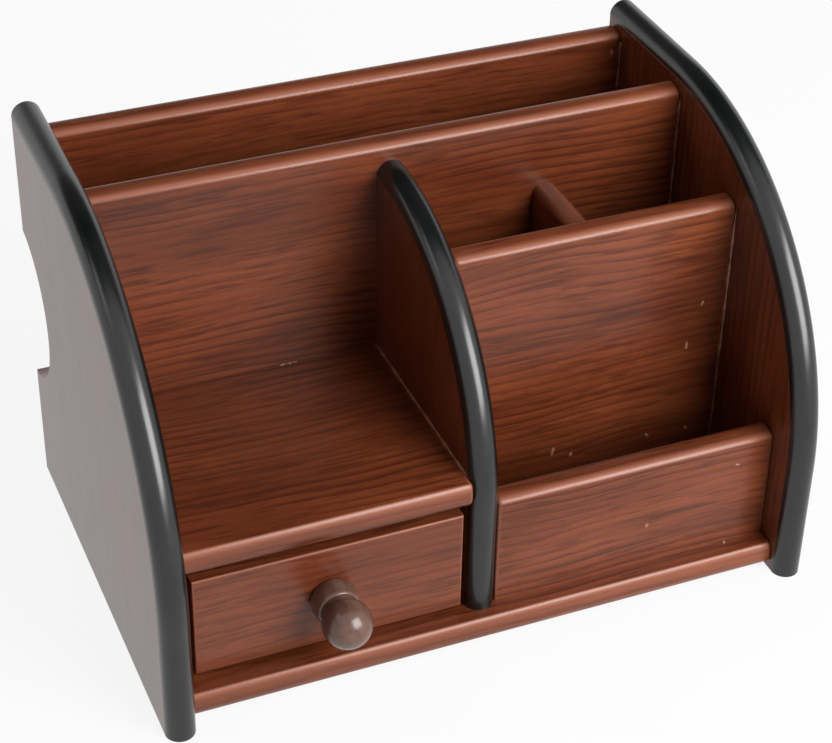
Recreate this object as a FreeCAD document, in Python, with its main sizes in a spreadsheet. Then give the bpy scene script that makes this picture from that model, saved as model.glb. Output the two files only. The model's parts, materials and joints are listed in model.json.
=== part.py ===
import FreeCAD, Part
import math
import os
import Sketcher
from FreeCAD import Placement, Rotation, Vector

# Pen stand with a drawer: film-wrapped boards between two curved sides.
#
# Frame: millimetres, +Z up, the front faces -Y and +X is to the right of someone
# who looks at the front.  The origin is on the desk, under the middle of the
# bounding box, so the drawer's knob counts in the depth.
#
# A place along the depth is given as its distance from the back edge of the
# sides, measured towards the front, and turned into a Y by row_y().

DRIVING_SIZES = [
    # the two sides, the divider and the black edging on them
    ("overall_width", 240.0),
    ("side_depth", 160.0),
    ("side_height", 157.0),
    ("side_corner", 110.0),
    ("side_board", 10.5),
    ("grip_opening", 60.5),
    ("grip_depth", 26.5),
    ("grip_level", 76.0),
    ("divider_overhang", 2.75),
    ("divider_height", 142.25),
    ("divider_corner", 87.75),
    ("barb_thickness", 2.0),
    ("barb_depth", 6.0),
    ("barb_clearance", 0.4),
    # the straight boards between them
    ("board", 9.0),
    ("edge_round", 3.0),
    ("back_inset", 1.0),
    ("base_lift", 2.5),
    ("base_ledge", 8.0),
    ("letter_height", 149.0),
    ("letter_gap", 38.5),
    ("pen_gap", 36.5),
    ("tray_gap", 33.0),
    ("pen_panel_height", 127.5),
    ("front_panel_height", 56.5),
    ("partition_height", 120.5),
    ("partition_shift", 0.8),
    ("shelf_level", 67.0),
    ("shelf_overhang", 2.0),
    ("drawer_bay", 102.0),
    # the dowels that pin the boards together
    ("dowel_diameter", 5.0),
    ("dowel_length", 20.0),
    ("dowel_seat", 6.0),
    ("dowel_margin", 18.0),
    ("foot_dowel_margin", 27.0),
    ("dowel_fit", 0.05),
    ("dowel_end_gap", 0.4),
    # the drawer
    ("drawer_left_play", 4.0),
    ("drawer_right_play", 2.2),
    ("drawer_top_play", 4.5),
    ("drawer_foot_play", 2.0),
    ("drawer_rest_gap", 0.3),
    ("drawer_rear_gap", 0.5),
    ("drawer_edge_round", 0.8),
    ("box_inset", 0.6),
    ("box_board", 6.0),
    ("box_height", 32.0),
    ("box_bottom", 3.0),
    ("box_bottom_lift", 4.0),
    ("box_groove", 3.0),
    # the turned knob and its screw
    ("knob_length", 24.0),
    ("knob_ball", 17.3),
    ("knob_collar", 17.0),
    ("knob_bead", 3.0),
    ("knob_pilot_depth", 12.0),
    ("screw_diameter", 3.8),
    ("screw_head", 7.6),
    ("screw_head_height", 2.4),
    ("screw_bite", 10.0),
    ("screw_clearance", 0.2),
    ("screw_thread_fit", 0.05),
]

doc = FreeCAD.newDocument("pen_stand")
sheet = doc.addObject("Spreadsheet::Sheet", "Sizes")


class Size:
    """A length that knows its present value and the sheet formula that gives it."""

    def __init__(self, text, value):
        self.text = text
        self.value = value

    def __add__(self, other):
        other = size(other)
        return Size(f"({self.text} + {other.text})", self.value + other.value)

    def __sub__(self, other):
        other = size(other)
        return Size(f"({self.text} - {other.text})", self.value - other.value)

    def __mul__(self, other):
        other = size(other)
        return Size(f"({self.text} * {other.text})", self.value * other.value)

    def __truediv__(self, other):
        other = size(other)
        return Size(f"({self.text} / {other.text})", self.value / other.value)

    def __neg__(self):
        return Size(f"(0 - {self.text})", -self.value)

    def root(self):
        return Size(f"sqrt({self.text})", math.sqrt(self.value))


def size(number):
    """A plain number as a Size; a Size is passed through."""
    if isinstance(number, Size):
        return number
    return Size(str(float(number)), float(number))


def fill_sheet():
    """Writes the driving sizes into the sheet, one aliased cell each."""
    named = {}
    for row, (alias, value) in enumerate(DRIVING_SIZES, start=1):
        sheet.set(f"A{row}", str(value))
        sheet.setAlias(f"A{row}", alias)
        named[alias] = Size(f"Sizes.{alias}", value)
    doc.recompute()
    return named


S = fill_sheet()
ZERO = size(0)

# ---------------------------------------------------------------- derived sizes

TRIM_RADIUS = S["side_board"] / 2
INNER_WIDTH = S["overall_width"] - S["side_board"] * 2
INNER_LEFT = -INNER_WIDTH / 2
INNER_RIGHT = INNER_WIDTH / 2
DIVIDER_LEFT = INNER_LEFT + S["drawer_bay"]
DIVIDER_RIGHT = DIVIDER_LEFT + S["side_board"]
RIGHT_BAY = INNER_RIGHT - DIVIDER_RIGHT

# distances from the back edge of the sides, towards the front
BACK_REAR = S["back_inset"]
BACK_FRONT = BACK_REAR + S["board"]
MIDDLE_REAR = BACK_FRONT + S["letter_gap"]
MIDDLE_FRONT = MIDDLE_REAR + S["board"]
PEN_REAR = MIDDLE_FRONT + S["pen_gap"]
PEN_FRONT = PEN_REAR + S["board"]
PANEL_REAR = PEN_FRONT + S["tray_gap"]
FRONT_LINE = PANEL_REAR + S["board"]
BASE_FRONT = FRONT_LINE + S["base_ledge"]
SHELF_FRONT = FRONT_LINE + S["shelf_overhang"]
DIVIDER_FRONT = FRONT_LINE + S["divider_overhang"]
BACK_Y = (FRONT_LINE + S["knob_length"]) / 2

# levels above the desk
BASE_TOP = S["base_lift"] + S["board"]
SHELF_UNDER = S["shelf_level"] - S["board"]


def row_y(distance):
    """The Y of a place that lies this far in front of the sides' back edge."""
    return BACK_Y - distance


# ---------------------------------------------------------------- small helpers


def bind(thing, path, length):
    """Ties one property to the sheet."""
    thing.setExpression(path, length.text)


def place(body, x, y, z, rotation=None):
    """Puts a sub-part at its place, with the three coordinates tied to the sheet."""
    start = Vector(x.value, y.value, z.value)
    body.Placement = Placement(start, rotation if rotation else Rotation())
    bind(body, ".Placement.Base.x", x)
    bind(body, ".Placement.Base.y", y)
    bind(body, ".Placement.Base.z", z)


def new_body(name):
    body = doc.addObject("PartDesign::Body", name)
    body.Label = name
    return body


def origin_plane(body, role):
    for feature in body.Origin.OriginFeatures:
        if feature.Role == role:
            return feature
    raise ValueError(role)


def new_sketch(body, name, role, offset=None):
    """A sketch on one of the body's own planes, moved along its normal by offset."""
    sketch = body.newObject("Sketcher::SketchObject", name)
    sketch.AttachmentSupport = (origin_plane(body, role), [""])
    sketch.MapMode = "FlatFace"
    if offset is not None:
        sketch.AttachmentOffset = Placement(Vector(0, 0, offset.value), Rotation())
        bind(sketch, ".AttachmentOffset.Base.z", offset)
    return sketch


def pin(sketch, geometry, position, x, y):
    """Fixes one point of a sketch by two dimensions that follow the sheet."""
    for kind, length in (("DistanceX", x), ("DistanceY", y)):
        dimension(sketch, kind, geometry, position, length)


def dimension(sketch, kind, geometry, position, length):
    number = sketch.addConstraint(
        Sketcher.Constraint(kind, -1, 1, geometry, position, length.value)
    )
    bind(sketch, f"Constraints[{number}]", length)


def line_to(x, y):
    return {"kind": "line", "end": (size(x), size(y))}


def arc_to(x, y, centre_x, centre_y, turn):
    """An arc about the given centre; turn is 'left' (anticlockwise) or 'right'."""
    return {
        "kind": "arc",
        "end": (size(x), size(y)),
        "centre": (size(centre_x), size(centre_y)),
        "turn": turn,
    }


def flat(point):
    return Vector(point[0].value, point[1].value, 0)


def add_line(sketch, start, step):
    number = sketch.addGeometry(Part.LineSegment(flat(start), flat(step["end"])), False)
    return number, 1, 2


def add_arc(sketch, start, step):
    """Draws the arc and pins its centre along the bisector of its chord."""
    centre = flat(step["centre"])
    first, last = flat(start), flat(step["end"])
    if step["turn"] == "right":
        first, last = last, first
    begin = math.atan2(first.y - centre.y, first.x - centre.x)
    finish = math.atan2(last.y - centre.y, last.x - centre.x)
    if finish <= begin:
        finish += 2 * math.pi
    circle = Part.Circle(centre, Vector(0, 0, 1), first.distanceToPoint(centre))
    number = sketch.addGeometry(Part.ArcOfCircle(circle, begin, finish), False)
    chord = last - first
    if abs(chord.y) > abs(chord.x):
        dimension(sketch, "DistanceX", number, 3, step["centre"][0])
    else:
        dimension(sketch, "DistanceY", number, 3, step["centre"][1])
    return (number, 2, 1) if step["turn"] == "right" else (number, 1, 2)


def draw(sketch, start, steps, closed=True):
    """Draws an outline of lines and arcs, with every corner pinned to the sheet."""
    start = (size(start[0]), size(start[1]))
    here = start
    pieces = []
    for step in steps:
        add = add_arc if step["kind"] == "arc" else add_line
        pieces.append(add(sketch, here, step))
        here = step["end"]
    pin(sketch, pieces[0][0], pieces[0][1], *start)
    for (number, _, tail), (following, head, _) in zip(pieces, pieces[1:]):
        sketch.addConstraint(Sketcher.Constraint("Coincident", number, tail, following, head))
    for (number, _, tail), step in zip(pieces[:-1], steps[:-1]):
        pin(sketch, number, tail, *step["end"])
    number, _, tail = pieces[-1]
    if closed:
        first, head, _ = pieces[0]
        sketch.addConstraint(Sketcher.Constraint("Coincident", number, tail, first, head))
    else:
        pin(sketch, number, tail, *steps[-1]["end"])


def pad(body, name, sketch, length, reverse=False):
    feature = body.newObject("PartDesign::Pad", name)
    feature.Profile = sketch
    feature.Reversed = reverse
    bind(feature, "Length", length)
    return feature


def pocket(body, name, sketch, length, reverse=False, both_ways=False):
    feature = body.newObject("PartDesign::Pocket", name)
    feature.Profile = sketch
    feature.Reversed = reverse
    if both_ways:
        feature.SideType = "Symmetric"
    bind(feature, "Length", length)
    return feature


def revolve(body, name, sketch):
    """Turns a half section about the sketch's vertical axis."""
    feature = body.newObject("PartDesign::Revolution", name)
    feature.Profile = sketch
    feature.ReferenceAxis = (sketch, ["V_Axis"])
    feature.Angle = 360
    return feature


def holes(body, name, role, offset, centres, diameter, depth, reverse=False):
    """Blind round holes from one plane: their centres are pinned to the sheet."""
    sketch = new_sketch(body, name + "_sketch", role, offset)
    for x, y in centres:
        circle = Part.Circle(Vector(x.value, y.value, 0), Vector(0, 0, 1), diameter.value / 2)
        number = sketch.addGeometry(circle, False)
        pin(sketch, number, 3, x, y)
        across = sketch.addConstraint(Sketcher.Constraint("Diameter", number, diameter.value))
        bind(sketch, f"Constraints[{across}]", diameter)
    return pocket(body, name, sketch, depth, reverse)


# ---------------------------------------------------------------- the dowels' places

DOWEL_HOLE = S["dowel_diameter"] + S["dowel_fit"] * 2
SEAT_HOLE = S["dowel_seat"] + S["dowel_end_gap"]
LONG_HOLE = S["dowel_length"] - S["dowel_seat"] + S["dowel_end_gap"]


def upright_dowels(rear, foot, top):
    """Two dowels in the end of a standing board: (distance from the back, level)."""
    middle = rear + S["board"] / 2
    return [(middle, foot + S["dowel_margin"]), (middle, top - S["dowel_margin"])]


def lying_dowels(rear, front, under):
    """Two dowels in the end of a lying board: (distance from the back, level)."""
    level = under + S["board"] / 2
    return [(rear + S["dowel_margin"], level), (front - S["dowel_margin"], level)]


BASE_DOWELS = lying_dowels(BACK_FRONT, BASE_FRONT, S["base_lift"])
BACK_DOWELS = upright_dowels(BACK_REAR, S["base_lift"], S["letter_height"])
MIDDLE_DOWELS = upright_dowels(MIDDLE_REAR, BASE_TOP, S["letter_height"])
PEN_DOWELS = upright_dowels(PEN_REAR, BASE_TOP, S["pen_panel_height"])
SHELF_DOWELS = lying_dowels(MIDDLE_FRONT, SHELF_FRONT, SHELF_UNDER)
PANEL_DOWELS = [(PANEL_REAR + S["board"] / 2, (BASE_TOP + S["front_panel_height"]) / 2)]
FOOT_DOWELS = [MIDDLE_FRONT + S["dowel_margin"], DIVIDER_FRONT - S["foot_dowel_margin"]]
PANEL_FOOT = DIVIDER_RIGHT + S["foot_dowel_margin"]
PANEL_FOOT_LINE = PANEL_REAR + S["board"] / 2
PARTITION_LEVEL = (BASE_TOP + S["partition_height"]) / 2
PARTITION_MIDDLE = (DIVIDER_RIGHT + INNER_RIGHT) / 2 + S["partition_shift"]
DIVIDER_MIDDLE = DIVIDER_LEFT + S["side_board"] / 2


# ---------------------------------------------------------------- curved boards


def curve_steps(depth, height, corner, inwards, forwards=True):
    """The curved edge of a board, from its top rear to its front foot or back.

    inwards shifts the whole curve into the board, so that one function gives
    the board's own edge and the floor of the groove behind it.
    """
    front = -depth + inwards
    top = height - inwards
    radius = corner - inwards
    centre = (front + radius, top - radius)
    if forwards:
        return [
            line_to(centre[0], top),
            arc_to(front, centre[1], *centre, "left"),
            line_to(front, 0),
        ]
    return [
        line_to(front, centre[1]),
        arc_to(centre[0], top, *centre, "right"),
        line_to(0, top),
    ]


def grip_steps():
    """The finger scoop in the back edge, a bow of the given height and depth."""
    half = S["grip_opening"] / 2
    radius = (half * half + S["grip_depth"] * S["grip_depth"]) / (S["grip_depth"] * 2)
    centre_y = radius - S["grip_depth"]
    upper = S["grip_level"] + half
    lower = S["grip_level"] - half
    return [
        line_to(0, lower),
        arc_to(0, upper, centre_y, S["grip_level"], "right"),
    ]


def curved_board(name, depth, height, corner, with_grip):
    """A board whose top front is one large bow, grooved along it for the edging."""
    body = new_body(name)
    board = new_sketch(body, name + "_outline", "YZ_Plane")
    if with_grip:
        # from the foot of the back edge, up past the scoop, and round the front
        steps = grip_steps() + [line_to(0, height)] + curve_steps(depth, height, corner, ZERO)
        draw(board, (0, 0), steps + [line_to(0, 0)])
    else:
        steps = curve_steps(depth, height, corner, ZERO)
        draw(board, (0, height), steps + [line_to(0, 0), line_to(0, height)])
    pad(body, name + "_board", board, S["side_board"])

    groove_depth = S["barb_depth"] + S["barb_clearance"]
    groove = new_sketch(body, name + "_groove_outline", "YZ_Plane", S["side_board"] / 2)
    outer = curve_steps(depth, height, corner, ZERO)
    inner = curve_steps(depth, height, corner, groove_depth, forwards=False)
    foot = line_to(-depth + groove_depth, 0)
    draw(groove, (0, height), outer + [foot] + inner + [line_to(0, height)])
    pocket(body, name + "_groove", groove, S["barb_thickness"], both_ways=True)
    return body


def edging(name, depth, height, corner):
    """The black edging: a half-round bead on a barb, swept along the board's bow."""
    body = new_body(name)
    path = new_sketch(body, name + "_path", "YZ_Plane")
    draw(path, (0, height), curve_steps(depth, height, corner, ZERO), closed=False)

    section = new_sketch(body, name + "_section", "XZ_Plane")
    bead = TRIM_RADIUS
    barb = S["barb_thickness"] / 2
    under = height - S["barb_depth"]
    steps = [
        arc_to(-bead, height, 0, height, "left"),
        line_to(-barb, height),
        line_to(-barb, under),
        line_to(barb, under),
        line_to(barb, height),
        line_to(bead, height),
    ]
    draw(section, (bead, height), steps)

    sweep = body.newObject("PartDesign::AdditivePipe", name + "_sweep")
    sweep.Profile = section
    sweep.Spine = path
    return body


def side_places(dowels):
    """Row places of dowels as sketch points of a side, whose zero is its back foot."""
    return [(-distance, level) for distance, level in dowels]


def sides():
    depth = S["side_depth"] - TRIM_RADIUS
    height = S["side_height"] - TRIM_RADIUS
    corner = S["side_corner"] - TRIM_RADIUS

    left = curved_board("side_left", depth, height, corner, with_grip=True)
    shared = BASE_DOWELS + BACK_DOWELS + MIDDLE_DOWELS
    seats = side_places(shared + SHELF_DOWELS)
    holes(left, "left_seats", "YZ_Plane", S["side_board"], seats, DOWEL_HOLE, SEAT_HOLE)
    place(left, INNER_LEFT - S["side_board"], BACK_Y, ZERO)

    right = curved_board("side_right", depth, height, corner, with_grip=True)
    seats = side_places(shared + PEN_DOWELS + PANEL_DOWELS)
    holes(right, "right_seats", "YZ_Plane", None, seats, DOWEL_HOLE, SEAT_HOLE, reverse=True)
    place(right, INNER_RIGHT, BACK_Y, ZERO)

    pieces = [left, right]
    for name, middle in (
        ("side_trim_left", INNER_LEFT - TRIM_RADIUS),
        ("side_trim_right", INNER_RIGHT + TRIM_RADIUS),
    ):
        trim = edging(name, depth, height, corner)
        place(trim, middle, BACK_Y, ZERO)
        pieces.append(trim)
    return pieces


def divider():
    """The shorter curved board between the drawer and the pens, with its edging."""
    depth = DIVIDER_FRONT - TRIM_RADIUS - MIDDLE_FRONT
    height = S["divider_height"] - TRIM_RADIUS - BASE_TOP
    corner = S["divider_corner"] - TRIM_RADIUS
    board = curved_board("divider", depth, height, corner, with_grip=False)

    def own(places):
        return [(MIDDLE_FRONT - distance, level - BASE_TOP) for distance, level in places]

    thickness = S["side_board"]
    middle = thickness / 2
    shelf_side = own(SHELF_DOWELS)
    pen_side = own(PEN_DOWELS)
    feet = [(middle, MIDDLE_FRONT - distance) for distance in FOOT_DOWELS]
    holes(board, "shelf_seats", "YZ_Plane", None, shelf_side, DOWEL_HOLE, SEAT_HOLE, True)
    holes(board, "pen_seats", "YZ_Plane", thickness, pen_side, DOWEL_HOLE, SEAT_HOLE)
    holes(board, "foot_holes", "XY_Plane", None, feet, DOWEL_HOLE, LONG_HOLE, True)
    place(board, DIVIDER_LEFT, row_y(MIDDLE_FRONT), BASE_TOP)

    trim = edging("divider_trim", depth, height, corner)
    place(trim, DIVIDER_MIDDLE, row_y(MIDDLE_FRONT), BASE_TOP)
    return [board, trim]


# ---------------------------------------------------------------- straight boards


def standing_section(sketch, thickness, height, rounding):
    """A standing board seen from its end: its two top edges are rounded."""
    steps = [
        line_to(0, height - rounding),
        arc_to(-rounding, height, -rounding, height - rounding, "left"),
        line_to(-thickness + rounding, height),
        arc_to(-thickness, height - rounding, -thickness + rounding, height - rounding, "left"),
        line_to(-thickness, 0),
        line_to(0, 0),
    ]
    draw(sketch, (0, 0), steps)


def lying_section(sketch, depth, thickness, rounding):
    """A lying board seen from its end: its front is a nose with two rounded edges."""
    steps = [
        line_to(0, thickness),
        line_to(-depth + rounding, thickness),
        arc_to(-depth, thickness - rounding, -depth + rounding, thickness - rounding, "left"),
        line_to(-depth, rounding),
        arc_to(-depth + rounding, 0, -depth + rounding, rounding, "left"),
        line_to(0, 0),
    ]
    draw(sketch, (0, 0), steps)


def end_holes(body, name, length, left, right):
    """Long dowel holes in the two ends of a board that runs along its own X."""
    if left:
        holes(body, name + "_left_holes", "YZ_Plane", None, left, DOWEL_HOLE, LONG_HOLE, True)
    if right:
        holes(body, name + "_right_holes", "YZ_Plane", length, right, DOWEL_HOLE, LONG_HOLE)


def standing_board(name, rear, foot, top, left_x, length, left_dowels, right_dowels):
    """A panel that faces the front, from foot to top, with its dowel holes."""
    body = new_body(name)
    section = new_sketch(body, name + "_section", "YZ_Plane")
    standing_section(section, S["board"], top - foot, S["edge_round"])
    pad(body, name + "_board", section, length)

    def own(places):
        return [(rear - distance, level - foot) for distance, level in places]

    end_holes(body, name, length, own(left_dowels), own(right_dowels))
    place(body, left_x, row_y(rear), foot)
    return body


def lying_board(name, rear, front, under, left_x, length, left_dowels, right_dowels):
    """A board that lies flat, with a rounded nose at its front."""
    body = new_body(name)
    section = new_sketch(body, name + "_section", "YZ_Plane")
    lying_section(section, front - rear, S["board"], S["edge_round"])
    pad(body, name + "_board", section, length)

    def own(places):
        return [(rear - distance, level - under) for distance, level in places]

    end_holes(body, name, length, own(left_dowels), own(right_dowels))
    place(body, left_x, row_y(rear), under)
    return body


def base_board():
    base = lying_board(
        "base_board", BACK_FRONT, BASE_FRONT, S["base_lift"],
        INNER_LEFT, INNER_WIDTH, BASE_DOWELS, BASE_DOWELS,
    )
    seats = [(DIVIDER_MIDDLE - INNER_LEFT, BACK_FRONT - distance) for distance in FOOT_DOWELS]
    seats.append((PANEL_FOOT - INNER_LEFT, BACK_FRONT - PANEL_FOOT_LINE))
    holes(base, "foot_seats", "XY_Plane", S["board"], seats, DOWEL_HOLE, SEAT_HOLE)
    return base


def letter_panels():
    """The back panel and the middle panel, with the letter slot between them."""
    back = standing_board(
        "back_panel", BACK_REAR, S["base_lift"], S["letter_height"],
        INNER_LEFT, INNER_WIDTH, BACK_DOWELS, BACK_DOWELS,
    )
    middle = standing_board(
        "middle_panel", MIDDLE_REAR, BASE_TOP, S["letter_height"],
        INNER_LEFT, INNER_WIDTH, MIDDLE_DOWELS, MIDDLE_DOWELS,
    )
    # the front face lies one board's thickness in front of the sketch plane
    seat = [(PARTITION_MIDDLE - INNER_LEFT, PARTITION_LEVEL - BASE_TOP)]
    holes(middle, "partition_seat", "XZ_Plane", S["board"], seat, DOWEL_HOLE, SEAT_HOLE)
    return [back, middle]


def pen_panel():
    """The panel in front of the two pen bays."""
    panel = standing_board(
        "pen_panel", PEN_REAR, BASE_TOP, S["pen_panel_height"],
        DIVIDER_RIGHT, RIGHT_BAY, PEN_DOWELS, PEN_DOWELS,
    )
    seat = [(PARTITION_MIDDLE - DIVIDER_RIGHT, PARTITION_LEVEL - BASE_TOP)]
    holes(panel, "partition_seat_front", "XZ_Plane", None, seat, DOWEL_HOLE, SEAT_HOLE, True)
    return panel


def front_panel():
    """The low panel at the front of the tray; it is pinned to the base as well."""
    panel = standing_board(
        "front_panel", PANEL_REAR, BASE_TOP, S["front_panel_height"],
        DIVIDER_RIGHT, RIGHT_BAY, [], PANEL_DOWELS,
    )
    foot = [(PANEL_FOOT - DIVIDER_RIGHT, PANEL_REAR - PANEL_FOOT_LINE)]
    holes(panel, "front_panel_foot", "XY_Plane", None, foot, DOWEL_HOLE, LONG_HOLE, True)
    return panel


def pen_partition():
    """The short wall that parts the two pen bays; it runs from back to front."""
    body = new_body("pen_partition")
    section = new_sketch(body, "partition_section", "YZ_Plane")
    standing_section(section, S["board"], S["partition_height"] - BASE_TOP, S["edge_round"])
    pad(body, "partition_board", section, S["pen_gap"])
    centre = [(-S["board"] / 2, PARTITION_LEVEL - BASE_TOP)]
    end_holes(body, "partition", S["pen_gap"], centre, centre)
    quarter_turn = Rotation(Vector(0, 0, 1), -90)
    place(body, PARTITION_MIDDLE + S["board"] / 2, row_y(MIDDLE_FRONT), BASE_TOP, quarter_turn)
    return body


def shelf():
    return lying_board(
        "shelf", MIDDLE_FRONT, SHELF_FRONT, SHELF_UNDER,
        INNER_LEFT, S["drawer_bay"], SHELF_DOWELS, SHELF_DOWELS,
    )


# ---------------------------------------------------------------- dowels


def dowel_pattern():
    """One dowel that stands on its seat end; the others are links to it."""
    rod = doc.addObject("Part::Cylinder", "dowel")
    bind(rod, "Radius", S["dowel_diameter"] / 2)
    bind(rod, "Height", S["dowel_length"])
    return rod


def peg(number, pattern, x, y, z, direction):
    """One dowel in its place: its seat end lies at (x, y, z)."""
    link = doc.addObject("App::Link", f"peg_{number}")
    link.LinkedObject = pattern
    link.LinkTransform = False
    place(link, x, y, z, Rotation(Vector(0, 0, 1), direction))
    return link


def dowel_set():
    """All the dowels, as one group of separate solids."""
    right, left = Vector(1, 0, 0), Vector(-1, 0, 0)
    up, front, back = Vector(0, 0, 1), Vector(0, -1, 0), Vector(0, 1, 0)
    seat = S["dowel_seat"]
    spots = []
    for distance, level in BASE_DOWELS + BACK_DOWELS + MIDDLE_DOWELS + SHELF_DOWELS:
        spots.append((INNER_LEFT - seat, row_y(distance), level, right))
    for distance, level in BASE_DOWELS + BACK_DOWELS + MIDDLE_DOWELS + PEN_DOWELS + PANEL_DOWELS:
        spots.append((INNER_RIGHT + seat, row_y(distance), level, left))
    for distance, level in SHELF_DOWELS:
        spots.append((DIVIDER_LEFT + seat, row_y(distance), level, left))
    for distance, level in PEN_DOWELS:
        spots.append((DIVIDER_RIGHT - seat, row_y(distance), level, right))
    for distance in FOOT_DOWELS:
        spots.append((DIVIDER_MIDDLE, row_y(distance), BASE_TOP - seat, up))
    spots.append((PANEL_FOOT, row_y(PANEL_FOOT_LINE), BASE_TOP - seat, up))
    spots.append((PARTITION_MIDDLE, row_y(MIDDLE_FRONT - seat), PARTITION_LEVEL, front))
    spots.append((PARTITION_MIDDLE, row_y(PEN_REAR + seat), PARTITION_LEVEL, back))

    pattern = dowel_pattern()
    pegs = [peg(k, pattern, *spot) for k, spot in enumerate(spots, start=1)]
    group = doc.addObject("Part::Compound", "dowels")
    group.Links = pegs
    group.Label = "dowels"
    return group


# ---------------------------------------------------------------- the drawer

DRAWER_LEFT = INNER_LEFT + S["drawer_left_play"]
DRAWER_WIDTH = S["drawer_bay"] - S["drawer_left_play"] - S["drawer_right_play"]
DRAWER_FOOT = BASE_TOP + S["drawer_foot_play"]
DRAWER_HEIGHT = SHELF_UNDER - S["drawer_top_play"] - DRAWER_FOOT
BOX_LEFT = DRAWER_LEFT + S["box_inset"]
BOX_WIDTH = DRAWER_WIDTH - S["box_inset"] * 2
BOX_FOOT = BASE_TOP + S["drawer_rest_gap"]
BOX_REAR = MIDDLE_FRONT + S["drawer_rear_gap"]
BOX_LENGTH = PANEL_REAR - BOX_REAR
FLOOR_UNDER = BOX_FOOT + S["box_bottom_lift"]
KNOB_LEVEL = DRAWER_FOOT + DRAWER_HEIGHT / 2
KNOB_MIDDLE = DRAWER_LEFT + DRAWER_WIDTH / 2


def block(name, x_length, y_length, z_length):
    """A plain board from its lower left rear corner: right, forwards and up."""
    body = new_body(name)
    section = new_sketch(body, name + "_section", "XY_Plane")
    steps = [
        line_to(0, -y_length),
        line_to(x_length, -y_length),
        line_to(x_length, 0),
        line_to(0, 0),
    ]
    draw(section, (0, 0), steps)
    pad(body, name + "_board", section, z_length)
    return body


def drawer_front():
    """The drawer's face: eased front edges, a hole for the knob's screw, a groove."""
    body = new_body("drawer_front")
    section = new_sketch(body, "drawer_front_outline", "XZ_Plane")
    steps = [
        line_to(DRAWER_WIDTH, 0),
        line_to(DRAWER_WIDTH, DRAWER_HEIGHT),
        line_to(0, DRAWER_HEIGHT),
        line_to(0, 0),
    ]
    draw(section, (0, 0), steps)
    face = pad(body, "drawer_front_board", section, S["board"])
    doc.recompute()

    eased = body.newObject("PartDesign::Fillet", "drawer_front_eased")
    # only the edges of the front face lie wholly in front of the board's middle
    board_middle = -S["board"].value / 2
    front_edges = [
        f"Edge{k}"
        for k, edge in enumerate(face.Shape.Edges, start=1)
        if edge.BoundBox.YMax < board_middle
    ]
    eased.Base = (face, front_edges)
    bind(eased, "Radius", S["drawer_edge_round"])

    screw_hole = S["screw_diameter"] + S["screw_clearance"] * 2
    middle = [(KNOB_MIDDLE - DRAWER_LEFT, KNOB_LEVEL - DRAWER_FOOT)]
    holes(body, "screw_hole", "XZ_Plane", None, middle, screw_hole, S["board"], True)

    floor_slot = new_sketch(body, "drawer_front_slot_outline", "XZ_Plane")
    left = BOX_LEFT + S["box_board"] - S["box_groove"] - DRAWER_LEFT
    right = DRAWER_WIDTH - left
    low = FLOOR_UNDER - DRAWER_FOOT
    high = low + S["box_bottom"]
    steps = [line_to(right, low), line_to(right, high), line_to(left, high), line_to(left, low)]
    draw(floor_slot, (left, low), steps)
    pocket(body, "drawer_front_slot", floor_slot, S["box_groove"], reverse=True)
    place(body, DRAWER_LEFT, row_y(PANEL_REAR), DRAWER_FOOT)
    return body


def drawer_side(name, left_x, groove_left):
    """One side of the drawer's box, with the groove for the bottom in its inner face."""
    body = block(name, S["box_board"], BOX_LENGTH, S["box_height"])
    slot = new_sketch(body, name + "_slot_outline", "XZ_Plane")
    low = S["box_bottom_lift"]
    high = low + S["box_bottom"]
    right = groove_left + S["box_groove"]
    steps = [line_to(right, low), line_to(right, high), line_to(groove_left, high)]
    draw(slot, (groove_left, low), steps + [line_to(groove_left, low)])
    pocket(body, name + "_slot", slot, BOX_LENGTH, reverse=True)
    place(body, left_x, row_y(BOX_REAR), BOX_FOOT)
    return body


def drawer_box():
    """The open box behind the drawer's face."""
    wall = S["box_board"]
    right_x = BOX_LEFT + BOX_WIDTH - wall
    left = drawer_side("drawer_side_left", BOX_LEFT, wall - S["box_groove"])
    right = drawer_side("drawer_side_right", right_x, ZERO)

    inner = BOX_WIDTH - wall * 2
    floor_top = S["box_bottom_lift"] + S["box_bottom"]
    rear = block("drawer_back", inner, wall, S["box_height"] - floor_top)
    place(rear, BOX_LEFT + wall, row_y(BOX_REAR), BOX_FOOT + floor_top)

    reach = S["box_groove"]
    bottom = block("drawer_bottom", inner + reach * 2, BOX_LENGTH + reach, S["box_bottom"])
    place(bottom, BOX_LEFT + wall - reach, row_y(BOX_REAR), FLOOR_UNDER)
    return [left, right, rear, bottom]


def knob():
    """The turned knob: a bead at its foot, a neck and a ball."""
    body = new_body("drawer_knob")
    half = new_sketch(body, "knob_half", "XZ_Plane")
    ball = S["knob_ball"] / 2
    bead = S["knob_bead"]
    neck = S["knob_collar"] / 2 - bead
    ball_centre = S["knob_length"] - ball
    ball_start = ball_centre - (ball * ball - neck * neck).root()
    pilot = S["screw_diameter"] / 2 + S["screw_thread_fit"]
    steps = [
        line_to(neck, 0),
        arc_to(neck, bead * 2, neck, bead, "left"),
        line_to(neck, ball_start),
        arc_to(0, S["knob_length"], 0, ball_centre, "left"),
        line_to(0, S["knob_pilot_depth"]),
        line_to(pilot, S["knob_pilot_depth"]),
        line_to(pilot, 0),
    ]
    draw(half, (pilot, 0), steps)
    revolve(body, "knob_turned", half)
    place(body, KNOB_MIDDLE, row_y(FRONT_LINE), KNOB_LEVEL, Rotation(Vector(1, 0, 0), 90))
    return body


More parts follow.
